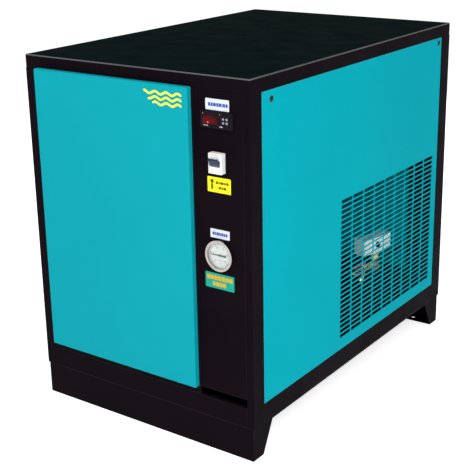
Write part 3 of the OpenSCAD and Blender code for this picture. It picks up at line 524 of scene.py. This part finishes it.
# The top cover gets a painted highlight on its rounded edges and a painted-shade tone on its top face.
detail("top_cover", FRAME_BLACK, 0.5, 2, (2.2, ("-z",)), edge_highlight_mat=COVER_EDGE_HIGHLIGHT, top_shade_mat=COVER_TOP_SHADE)
detail("right_side_panel", TEAL, 0.25, 1, (1.6, ("-x",)), edge_highlight_mat=TEAL_EDGE_HIGHLIGHT)
detail("left_side_panel", TEAL, 0.25, 1, (1.6, ("+x",)), edge_highlight_mat=TEAL_EDGE_HIGHLIGHT)
detail("rear_panel", TEAL, 0.3, 1, (1.6, ("-y",)), edge_highlight_mat=TEAL_EDGE_HIGHLIGHT)
for name in ("base_front_plinth", "base_rear_plinth", "corner_posts", "bottom_rails", "top_rails",
             "door_sill", "centre_stile", "control_panel", "exchanger_shelf", "shelf_rails",
             "base_pan"):
    detail(name, FRAME_BLACK, 0.9, 3, edge_highlight_mat=FRAME_EDGE_HIGHLIGHT)
detail("door_hinges", FRAME_BLACK, 0.5, 2)
detail("frame_hinges", FRAME_BLACK, 0.5, 2)
detail("door_seal", SEAL_FOAM, 0.4, 2)
detail("door_catches", BLACK_PLASTIC, 0.8, 2)


def panel_screws():
    """Domed screws with a cross recess."""
    apart = 30 * MM
    arm, half_slot = 3.2 * MM, 0.55 * MM
    deep, clear_by = 1.4 * MM, 0.5 * MM
    bm = bmesh.new()
    bm.from_mesh(NODES["panel_screws"].data)
    bmesh.ops.remove_doubles(bm, verts=bm.verts, dist=2e-6)
    obj = finished("panel_screws_detail", bm, SCREW_BLACK, "cabinet", ("panel_screws",))
    points = [v.co for v in NODES["panel_screws"].data.vertices]
    seen = []
    for p in points:
        if all((p - q).length > apart for q in seen):
            seen.append(p.copy())
    cross = bmesh.new()
    for q in seen:
        screw = [p for p in points if (p - q).length < apart]
        lo = Vector(min(p[i] for p in screw) for i in range(3))
        hi = Vector(max(p[i] for p in screw) for i in range(3))
        mid = (lo + hi) / 2
        axis = max(range(3), key=lambda i: (hi - lo)[i] if i < 2 else 0)
        sign = 1 if mid[axis] > 0 else -1
        face = hi[axis] if sign > 0 else lo[axis]
        for level in (False, True):
            half = Vector((0, 0, 0))
            half[1 - axis] = arm if level else half_slot
            half[2] = half_slot if level else arm
            a, b = mid - half, mid + half
            a[axis], b[axis] = sorted((face - sign * deep, face + sign * clear_by))
            box_into(cross, a, b)
    bmesh.ops.recalc_face_normals(cross, faces=cross.faces)
    mesh = bpy.data.meshes.new("cutter")
    cross.to_mesh(mesh)
    cross.free()
    cutter = bpy.data.objects.new("cutter", mesh)
    bpy.context.scene.collection.objects.link(cutter)
    cut = obj.modifiers.new("cut", "BOOLEAN")
    cut.operation = "DIFFERENCE"
    cut.solver = "EXACT"
    cut.use_self = True
    cut.object = cutter
    done = bpy.data.meshes.new_from_object(obj.evaluated_get(bpy.context.evaluated_depsgraph_get()))
    obj.modifiers.clear()
    obj.data = done
    bpy.data.objects.remove(cutter)
    shaded(obj)


panel_screws()


def door_mark():
    """Three waves of moving air, in the top right corner of the door."""
    lo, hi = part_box("front_door")
    right, top = hi.x - 15 * MM, hi.z - 17 * MM
    length, pitch, swing, width = 90 * MM, 10.5 * MM, 2.6 * MM, 4.2 * MM
    wave, stagger, steps = 28 * MM, 11 * MM, 60
    waves = []
    for row in range(3):
        z = top - row * pitch
        start = right - length + row * stagger
        points = []
        for k in range(steps + 1):
            x = start + (right - start) * k / steps
            points.append((x, z + swing * math.sin((right - x) / wave * 2 * math.pi)))
        waves.append(strip(points, width))
    printed("door_wave_mark", waves, lo.y, YELLOW_INK, "door", 0.12)


door_mark()


# ---------- Control strip ----------

def label(name, node_box, film_mat):
    """One label plate with round corners, from its box."""
    lo, hi = node_box
    mid, size = (lo + hi) / 2, hi - lo
    bm = bmesh.new()
    prism(bm, round_rect(mid.x, mid.z, size.x, size.z, 1.6 * MM), lo.y, hi.y)
    edges = [e for e in bm.edges if all(abs(v.co.y - lo.y) < 1e-6 for v in e.verts)]
    bmesh.ops.bevel(bm, geom=edges, offset=0.15 * MM, segments=2, affect="EDGES")
    return finished(name, bm, film_mat, "cabinet")


def split_boxes(node, gap):
    """Boxes of a node's separate solids, stacked along Z with clear gaps between them, top first."""
    mesh = NODES[node].data
    spans = []
    for face in sorted(sorted(mesh.vertices[i].co.z for i in f.vertices) for f in mesh.polygons):
        low, high = face[0], face[-1]
        if spans and low <= spans[-1][1] + gap:
            spans[-1][1] = max(spans[-1][1], high)
        else:
            spans.append([low, high])
    boxes = []
    for low, high in reversed(spans):
        inside = [v.co for v in mesh.vertices if low - 1e-6 <= v.co.z <= high + 1e-6]
        boxes.append((Vector(min(p[i] for p in inside) for i in range(3)),
                      Vector(max(p[i] for p in inside) for i in range(3))))
    return boxes


label_boxes = split_boxes("label_plates", 0.5 * MM)
label_names = ("label_upper_white", "label_yellow", "label_lower_white", "label_green")
label_films = (WHITE_FILM, YELLOW_FILM, WHITE_FILM, GREEN_FILM)
for name, node_box, mat in zip(label_names, label_boxes, label_films):
    made = label(name, node_box, mat)
    if name == label_names[0]:
        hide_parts("label_plates")


def blocks(cx, cz, widths, height, gap):
    """A row of rounded blocks, centred on a point; widths, height and gap are in mm."""
    x = cx - (sum(widths) + gap * (len(widths) - 1)) / 2 * MM
    made = []
    for w in widths:
        made.append(round_rect(x + w / 2 * MM, cz, w * MM, height * MM, 0.35 * min(w, height) * MM))
        x += (w + gap) * MM
    return made


def label_prints():
    """Rows of plain blocks in place of the labels' texts."""
    upper, yellow, lower, green = [((lo + hi) / 2, lo.y) for lo, hi in label_boxes]
    c, y = upper
    marks = blocks(c.x - 12 * MM, c.z, (5.2, 4.6, 6.4), 7.2, 1.0)
    marks += blocks(c.x + 11.5 * MM, c.z, (4.8, 5.4, 2.2, 5.2, 4.8), 7.2, 1.0)
    printed("print_upper_white", marks, y, BLUE_INK, "cabinet")
    c, y = yellow
    mark_x = c.x - 16.5 * MM
    marks = [disc(mark_x, c.z + 6.5 * MM, 4.2 * MM),
             round_rect(mark_x, c.z - 4 * MM, 5.0 * MM, 12 * MM, 1.8 * MM)]
    marks += blocks(c.x + 7.5 * MM, c.z + 4.6 * MM, (6, 3, 8, 4, 6), 5.4, 0.9)
    marks += blocks(c.x + 8 * MM, c.z - 5.4 * MM, (6, 3.5, 7), 5.4, 0.9)
    printed("print_yellow", marks, y, OLIVE_INK, "cabinet")
    c, y = lower
    marks = blocks(c.x, c.z, (5.2, 3, 5.6, 4, 5.2, 3, 4.4), 6.6, 0.9)
    printed("print_lower_white", marks, y, BLUE_INK, "cabinet")
    c, y = green
    marks = blocks(c.x, c.z + 6.6 * MM, (9, 6, 9.5, 7, 10.5, 6, 9), 9.6, 0.9)
    marks += blocks(c.x - 1 * MM, c.z - 6.6 * MM, (6.5, 9.5, 5, 8.5), 9.0, 1.0)
    printed("print_green", marks, y, AMBER_INK, "cabinet")


label_prints()


def controller():
    """Panel controller: bezel, smoked window with an unlit display, one lamp and small prints."""
    detail("controller_case", BEZEL_PLASTIC, 0.5, 3)
    detail("controller_window", RED_LENS_PAINTED_GLOW, 0.1, 1)
    lo, hi = WINDOW_LO, WINDOW_HI
    printed("controller_lamp", [disc(LAMP_AT.x, LAMP_AT.z, 1.1 * MM)], lo.y, LAMP, "cabinet", 0.05)
    digit_x, digit_pitch, digit_half_w, digit_half_h = 11 * MM, 9.5 * MM, 2.9 * MM, 5.0 * MM
    bar, thick, round_r = 4.4 * MM, 0.8 * MM, 0.3 * MM
    ghosts = []
    mid = (lo.z + hi.z) / 2 + 1.2 * MM
    for k in range(3):
        x = lo.x + digit_x + digit_pitch * k
        for row in (-1, 0, 1):
            ghosts.append(round_rect(x, mid + row * digit_half_h, bar, thick, round_r))
        for dx in (-digit_half_w, digit_half_w):
            for dz in (-digit_half_h / 2, digit_half_h / 2):
                ghosts.append(round_rect(x + dx, mid + dz, thick, 3.8 * MM, round_r))
    printed("controller_segments", ghosts, lo.y, DIM_RED, "cabinet", 0.04)
    below = lo.z - 3.4 * MM
    marks = [disc(lo.x + 2 * MM, hi.z + 2.6 * MM, 0.8 * MM, 12),
             disc(hi.x + 2 * MM, hi.z + 3 * MM, 0.8 * MM, 12)]
    marks += blocks(lo.x + 8 * MM, below, (3, 2, 4), 1.3, 0.8)
    marks += blocks(hi.x + 4.5 * MM, below, (2.5, 3.5), 2.0, 0.8)
    printed("controller_print", marks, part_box("controller_case")[0].y, PALE_INK, "cabinet", 0.04)


controller()


def key_cap(node):
    """A round key with a shallow dished top."""
    lo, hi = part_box(node)
    mid = (lo + hi) / 2
    r = (hi.x - lo.x) / 2
    front, back = lo.y, hi.y
    profile = [(0, 0.35 * MM), (r * 0.5, 0.25 * MM), (r * 0.78, 0.02 * MM), (r * 0.88, 0.0),
               (r * 0.97, 0.12 * MM), (r, 0.4 * MM), (r, back - front), (0, back - front)]
    bm = bmesh.new()
    lathe_into(bm, profile, (mid.x, front, mid.z), (0, 1, 0), 32)
    finished(node + "_cap", bm, KEY_PLASTIC, BODY_OF[node], (node,))


for name in ("key_up", "key_set", "key_down", "key_defrost"):
    key_cap(name)


def breaker():
    """Two-pole breaker: a seam between its poles, terminal holes painted as grey discs of shade, a stripe and
    small prints.
    """
    detail("breaker_body", BREAKER_PLASTIC, 0.8, 3)
    detail("breaker_toggle", TOGGLE_PLASTIC, 0.9, 3)
    lo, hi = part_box("breaker_body")
    y = lo.y
    cx = (lo.x + hi.x) / 2
    cz = (lo.z + hi.z) / 2
    nose = [v.co.z for v in NODES["breaker_body"].data.vertices if v.co.y < y + 1e-5]
    top, low = max(nose), min(nose)
    pole = (hi.x - lo.x) / 4
    toggle_half, seam_w, seam_gap = 6 * MM, 0.5 * MM, 0.4 * MM
    seam = []
    for end, way in ((top, -1), (low, 1)):
        inner = cz - way * toggle_half
        tall = abs(end - cz) - toggle_half - 2 * MM
        seam.append(round_rect(cx, (end + inner) / 2 + way * seam_gap, seam_w, tall, 0.2 * MM))
    # Painted shade: the terminal holes are flat grey discs standing for the shade inside them.
    seam += [disc(cx + side * pole, low + 3.4 * MM, 1.5 * MM, 16) for side in (-1, 1)]
    printed("breaker_seams_and_hole_shade", seam, y, BREAKER_SHADE, "cabinet", 0.03)
    stripe = [round_rect(cx, top - 2.8 * MM, hi.x - lo.x - 4 * MM, 1.2 * MM, 0.4 * MM)]
    printed("breaker_stripe", stripe, y, STRIPE_INK, "cabinet", 0.05)
    marks = []
    for side in (-1, 1):
        x = cx + side * pole
        marks += blocks(x, top - 6.8 * MM, (3, 4, 2), 1.4, 0.7)
        marks += blocks(x, top - 9.6 * MM, (4, 3), 1.4, 0.7)
        marks += blocks(x, low + 8.6 * MM, (2, 4, 3), 1.2, 0.7)
    printed("breaker_print", marks, y, PALE_INK, "cabinet", 0.03)


breaker()
detail("din_rail", ZINC, 0.3, 2)


def gauge():
    """Panel gauge: steel case, dial with a scale of 270 degrees and plain numbers, pointer and glass."""
    detail("gauge_case", STEEL, 1.7, 5, angle=60)
    detail("gauge_dial", DIAL_WHITE, 0.1, 1)
    detail("gauge_pointer", DARK_INK, 0.12, 2)
    detail("gauge_glass", GLASS, 0.2, 2)
    lo, hi = GAUGE_LO, GAUGE_HI
    cx, cz, r = GAUGE_MID.x, GAUGE_MID.z, (hi.x - lo.x) / 2
    divisions, first, sweep, rim = 50, 225, 270, 0.92

    def at(share, k):
        """A point on the dial, at a share of its radius and k divisions up the scale."""
        a = math.radians(first - sweep * k / divisions)
        return cx + r * share * math.cos(a), cz + r * share * math.sin(a)

    marks = []
    for k in range(divisions + 1):
        long = k % 10 == 0
        inner = 0.76 if long else (0.82 if k % 5 == 0 else 0.86)
        width = (0.9 if long else 0.42) * MM
        marks.append(strip([at(inner, k), at((inner + rim) / 2, k), at(rim, k)], width))
    for k in range(divisions):
        marks.append(strip([at(rim, k + j / 2) for j in range(3)], 0.45 * MM))
    printed("gauge_scale", marks, lo.y, DARK_INK, "cabinet", 0.04)
    bars = blocks(cx, cz - r * 0.42, (3, 5, 3), 1.6, 0.9) + blocks(cx, cz - r * 0.60, (2, 2.6), 1.3, 0.8)
    printed("gauge_unit_bars", bars, lo.y, BREAKER_SHADE, "cabinet", 0.04)
    bm = bmesh.new()
    for k in range(6):
        curve = bpy.data.curves.new("dial_number", "FONT")
        curve.body = str(4 * k)
        curve.size = 5.6 * MM
        curve.align_x, curve.align_y = "CENTER", "CENTER"
        curve.extrude = 0.02 * MM
        number = bpy.data.objects.new("dial_number", curve)
        bpy.context.scene.collection.objects.link(number)
        bpy.context.view_layer.update()
        shown = number.evaluated_get(bpy.context.evaluated_depsgraph_get())
        mesh = bpy.data.meshes.new_from_object(shown)
        x, z = at(0.60, 10 * k)
        place = Matrix.Translation((x, lo.y - 0.02 * MM, z))
        mesh.transform(place @ Matrix.Rotation(math.pi / 2, 4, "X"))
        bm.from_mesh(mesh)
        bpy.data.objects.remove(number)
        bpy.data.meshes.remove(mesh)
    finished("gauge_numbers", bm, DARK_INK, "cabinet")


gauge()


# ---------- Machinery ----------

for name, mat, width in (
        ("compressor", MACHINE_BLACK, 1.0), ("compressor_grommets", RUBBER, 0.8),
        ("compressor_terminal_cover", BLACK_PLASTIC, 1.5), ("fan_shroud", FRAME_BLACK, 0.6),
        ("fan_guard", MACHINE_BLACK, 0), ("fan_motor", MOTOR_GREY, 1.5),
        ("heat_exchanger", INSULATION, 2.0), ("water_separator", CAST, 0.8),
        ("air_pipes", PIPE_STEEL, 0.6), ("liquid_receiver", MACHINE_BLACK, 0.6),
        ("filter_drier", COPPER, 0.5), ("capillary_tube", COPPER, 0), ("discharge_line", COPPER, 0.3),
        ("liquid_lines", COPPER, 0.3), ("suction_line", INSULATION, 0), ("hot_gas_valve", BRASS, 0.4),
        ("drain_line", COPPER, 0.2), ("strainer_valve", BRASS, 0.4), ("strainer_lever", RED_PLASTIC, 0.5),
        ("drain_valve", BRASS, 0.5), ("drain_timer", TIMER_PLASTIC, 1.8),
        ("drain_timer_knob", BLACK_PLASTIC, 0.5), ("cable_gland", BLACK_PLASTIC, 0.5)):
    detail(name, mat, width)


def condenser():
    """Fin pack between two end plates, with copper tubes that turn back at both ends."""
    lo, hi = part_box("condenser_coil")
    x0, x1 = lo.x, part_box("fan_shroud")[0].x
    foot, z1 = lo.z, hi.z
    z0 = foot + 66 * MM
    plate, pitch, thick = 2.0 * MM, 2.5 * MM, 0.22 * MM
    bm = bmesh.new()
    for y in (lo.y, hi.y - plate):
        box_into(bm, (x0, y, foot), (x1, y + plate, z1))
    finished("condenser_end_plates", bm, ZINC, "cabinet")
    bm = bmesh.new()
    y = lo.y + plate + pitch / 2
    while y < hi.y - plate - thick:
        box_into(bm, (x0 + 1 * MM, y, z0), (x1 - 0.5 * MM, y + thick, z1 - 0.5 * MM))
        y += pitch
    finished("condenser_fins", bm, ALUMINIUM, "cabinet", ("condenser_coil",))
    bm = bmesh.new()
    rows, columns, tube_r, proud = 12, 3, 4.8 * MM, 1 * MM
    step_z = (z1 - z0) / rows
    step_x = (x1 - x0) / columns
    for i in range(columns):
        x = x0 + step_x * (i + 0.5)
        for j in range(rows):
            z = z0 + step_z * (j + 0.5)
            tube_into(bm, [(x, lo.y - proud, z), (x, hi.y + proud, z)], tube_r)
            if j + 1 < rows:
                edge, out = (lo.y - proud, -1) if j % 2 == 0 else (hi.y + proud, 1)
                turn = (math.pi * k / 10 for k in range(11))
                bend = [(x, edge + out * step_z / 2 * math.sin(t), z + step_z / 2 * (1 - math.cos(t)))
                        for t in turn]
                tube_into(bm, bend, tube_r)
    finished("condenser_tubes", bm, COPPER, "cabinet")
    bm = bmesh.new()
    port_y, port_r = lo.y + plate + 12 * MM, 6.5 * MM
    for z in (z0 + 20 * MM, z0 + 290 * MM):
        tube_into(bm, [(x1 - 5 * MM, port_y, z), (hi.x, port_y, z)], port_r, 20)
    finished("condenser_ports", bm, COPPER, "cabinet")


condenser()


def fan():
    """Pressed blades with twist and camber on a domed hub."""
    lo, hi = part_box("fan_blades")
    guard_lo, guard_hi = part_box("fan_guard")
    centre = Vector(((lo.x + hi.x) / 2, (guard_lo.y + guard_hi.y) / 2, (guard_lo.z + guard_hi.z) / 2))
    count, hub_r, tip, sunk = 5, 34 * MM, 140 * MM, 3 * MM
    root_half, added_half, root_pitch, twist = 21, 12.5, 37, 12
    spans, chords, thick, hollow = 14, 10, 0.8 * MM, 3.2 * MM
    bm = bmesh.new()
    for blade in range(count):
        turn = Matrix.Rotation(math.radians(360 / count * blade), 3, "X")
        layers = []
        for side in (-1, 1):
            grid = []
            for i in range(spans + 1):
                s = i / spans
                r = hub_r - sunk + (tip - hub_r + sunk) * s
                half = (root_half + added_half * math.sin(min(1, s * 1.15) * math.pi / 2)) * MM
                if s > 0.8:
                    half *= math.sqrt(max(0.0, 1 - ((s - 0.8) / 0.2) ** 2 * 0.55))
                pitch = math.radians(root_pitch - twist * s)
                row = []
                for j in range(chords + 1):
                    c = j / chords * 2 - 1
                    along, camber = half * c, (1 - c * c) * hollow
                    x = -along * math.sin(pitch) + (camber + side * thick) * math.cos(pitch)
                    y = along * math.cos(pitch) + camber * math.sin(pitch)
                    row.append(bm.verts.new(turn @ Vector((x, y, r)) + centre))
                grid.append(row)
            layers.append(grid)
        under, over = layers
        for i in range(spans):
            for j in range(chords):
                bm.faces.new((under[i][j], under[i][j + 1], under[i + 1][j + 1], under[i + 1][j]))
                bm.faces.new((over[i][j], over[i + 1][j], over[i + 1][j + 1], over[i][j + 1]))
        rim = [(i, 0) for i in range(spans + 1)]
        rim += [(spans, j) for j in range(1, chords + 1)]
        rim += [(i, chords) for i in range(spans - 1, -1, -1)]
        rim += [(0, j) for j in range(chords - 1, 0, -1)]
        for (i, j), (m, n) in zip(rim, rim[1:] + rim[:1]):
            bm.faces.new((under[i][j], under[m][n], over[m][n], over[i][j]))
    finished("fan_blades_pressed", bm, BLADE, "fan", ("fan_blades",))
    bm = bmesh.new()
    hub = [(0, -12 * MM), (24 * MM, -12 * MM), (31 * MM, -9.5 * MM), (hub_r, -5 * MM), (hub_r, 12 * MM),
           (32 * MM, 14 * MM), (0, 14 * MM)]
    lathe_into(bm, hub, centre, (1, 0, 0))
    finished("fan_hub", bm, MOTOR_GREY, "fan")


fan()


# ---------- Floor, light and camera ----------

def floor():
    """A wide pale floor under the feet, bright enough to run into the backdrop."""
    bm = bmesh.new()
    bmesh.ops.create_grid(bm, x_segments=4, y_segments=4, size=40.0)
    mesh = bpy.data.meshes.new("floor")
    bm.to_mesh(mesh)
    bm.free()
    obj = bpy.data.objects.new("floor", mesh)
    obj.location.z = CAD_LO.z - 0.0005
    bpy.context.scene.collection.objects.link(obj)
    s = Shader("floor_pale", 0.75, specular=0.05)
    s.colour((0.93, 0.93, 0.93), 0.01, 3.0)
    s.bsdf.inputs["Emission Color"].default_value = (1, 1, 1, 1)
    s.bsdf.inputs["Emission Strength"].default_value = 0.7
    mesh.materials.append(s.mat)


def area(name, at, target, size, watts):
    """A round soft light that faces its target."""
    light = bpy.data.lights.new(name, "AREA")
    light.shape = "DISK"
    light.size = size
    light.energy = watts
    obj = bpy.data.objects.new(name, light)
    obj.location = at
    obj.rotation_mode = "QUATERNION"
    obj.rotation_quaternion = (Vector(target) - Vector(at)).to_track_quat("-Z", "Y")
    bpy.context.scene.collection.objects.link(obj)


floor()
area("key", (0.9, -3.2, 2.6), (0, 0, 0.4), 2.2, 54)
area("side", (1.9, -1.7, 1.7), (0.3, -0.2, 0.5), 1.1, 29)
area("overhead", (0.2, -1.0, 3.2), (0, 0, 0.5), 1.8, 20)
area("rear", (-1.5, 3.0, 0.36), (0, 0, 0.4), 0.7, 33)
area("left", (-3.2, 0.0, 1.2), (0, 0, 0.4), 1.8, 30)

world = bpy.data.worlds.new("studio")
bpy.context.scene.world = world
world.use_nodes = True
sky = world.node_tree
glow = sky.nodes["Background"]
glow.inputs["Color"].default_value = (1, 1, 1, 1)
glow.inputs["Strength"].default_value = 0.34
backdrop = sky.nodes.new("ShaderNodeBackground")
backdrop.inputs["Color"].default_value = (1, 1, 1, 1)
backdrop.inputs["Strength"].default_value = 1.0
seen = sky.nodes.new("ShaderNodeLightPath")
either = sky.nodes.new("ShaderNodeMixShader")
sky.links.new(seen.outputs["Is Camera Ray"], either.inputs[0])
sky.links.new(glow.outputs[0], either.inputs[1])
sky.links.new(backdrop.outputs[0], either.inputs[2])
sky.links.new(either.outputs[0], sky.nodes["World Output"].inputs["Surface"])

camera = bpy.data.cameras.new("camera")
camera.lens = 80.3
camera.sensor_width = 36.0
camera.shift_y = -0.057
camera.clip_end = 200.0
viewer = bpy.data.objects.new("camera", camera)
bpy.context.scene.collection.objects.link(viewer)
AZIMUTH, PITCH, ROLL = math.radians(35.6), math.radians(17.7), math.radians(1.0)
back = Vector((math.sin(AZIMUTH) * math.cos(PITCH), -math.cos(AZIMUTH) * math.cos(PITCH), math.sin(PITCH)))
viewer.rotation_mode = "QUATERNION"
viewer.rotation_quaternion = (Matrix.Rotation(-ROLL, 3, back).to_quaternion()
                              @ (-back).to_track_quat("-Z", "Y"))
viewer.location = (1.376, -1.996, 1.151)
bpy.context.scene.camera = viewer

bpy.context.scene.view_settings.view_transform = "Standard"
bpy.context.scene.view_settings.look = "None"
